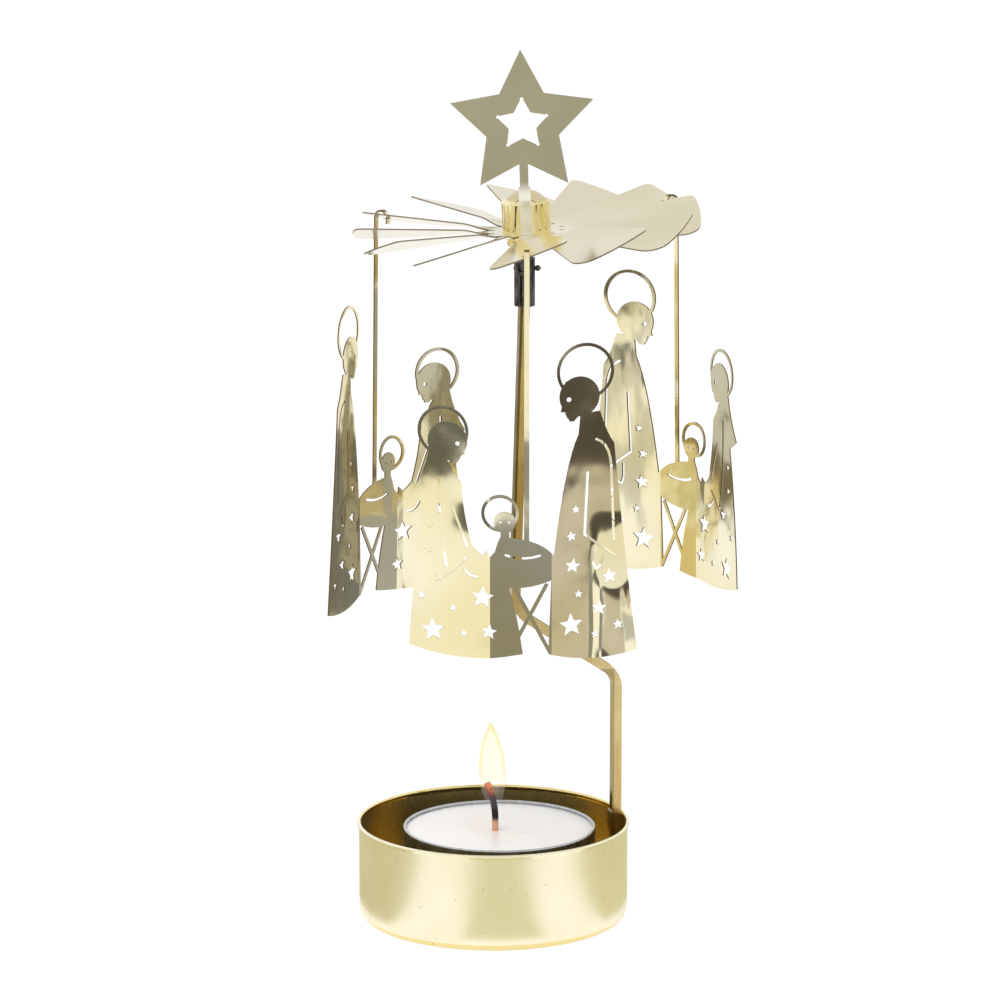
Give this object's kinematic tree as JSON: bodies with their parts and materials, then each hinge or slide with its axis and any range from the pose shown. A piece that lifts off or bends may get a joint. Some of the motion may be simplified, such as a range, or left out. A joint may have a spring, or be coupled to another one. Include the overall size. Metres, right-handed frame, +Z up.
{
  "type": "angel chime carousel",
  "caption": "Candle-driven carousel: a drawn tray holds a tealight and a bent arm with a needle, on which a bladed rotor turns, hung with pierced sheet figures under a star.",
  "frame": {"origin": "centre of the tray's underside, on the surface that the holder stands on", "axes": "+Z up along the needle; the front pendant and the star face -Y, and the arm rises from the tray 12 degrees behind +X"},
  "size_m": [0.0812, 0.0701, 0.1751],
  "materials": {
    "satin_gold_tray": "satin lacquered pale gold, drawn sheet",
    "gold_strip": "semi-gloss rolled strip",
    "dark_steel": "dark polished",
    "needle_steel": "turned, bright",
    "mirror_brass": "mirror polished",
    "rotor_sheet": "pale gold mirror sheet",
    "star_sheet": "khaki gold sheet, slightly dulled",
    "pendant_sheet": "pale gold mirror sheet, stamped",
    "cup_aluminium": "thin bright drawn cup",
    "white_wax": "soft translucent wax",
    "charred_wick": "charred cotton, glowing at the tip",
    "flame": "flame, lit from inside"
  },
  "bodies": {
    "base": {"base_tray": "satin_gold_tray", "arm_clip": "gold_strip", "support_arm": "gold_strip", "needle_sleeve": "dark_steel", "sleeve_pin": "dark_steel", "needle": "needle_steel"},
    "carousel": {"hub_cap": "mirror_brass", "rotor_disc": "rotor_sheet", "top_star": "star_sheet"},
    "front_pendant": {"pendant_front": "pendant_sheet"},
    "right_pendant": {"pendant_right": "pendant_sheet"},
    "left_pendant": {"pendant_left": "pendant_sheet"},
    "tealight": {"candle_cup": "cup_aluminium", "candle_wax": "white_wax", "candle_wick": "charred_wick", "wick_tab": "cup_aluminium"}
  },
  "joints": [
    {"name": "carousel_spin", "type": "hinge", "parent": "base", "child": "carousel", "pos_m": [0.00616, 0.00131, 0.1466], "axis": [0, 0, 1], "continuous": true},
    {"name": "front_swing", "type": "hinge", "parent": "carousel", "child": "front_pendant", "pos_m": [0.0064, -0.03184, 0.13906], "axis": [-1, 0, 0], "range_deg": [-10, 20]},
    {"name": "right_swing", "type": "hinge", "parent": "carousel", "child": "right_pendant", "pos_m": [0.03524, 0.01819, 0.14165], "axis": [0.6691, -0.7431, 0], "range_deg": [-10, 20]},
    {"name": "left_swing", "type": "hinge", "parent": "carousel", "child": "left_pendant", "pos_m": [-0.02204, 0.01844, 0.1385], "axis": [0.6157, 0.788, 0], "range_deg": [-10, 20]},
    {"name": "tealight_lift", "type": "slide", "parent": "base", "child": "tealight", "axis": [0, 0, 1], "range_m": [0, 0.021]}
  ]
}
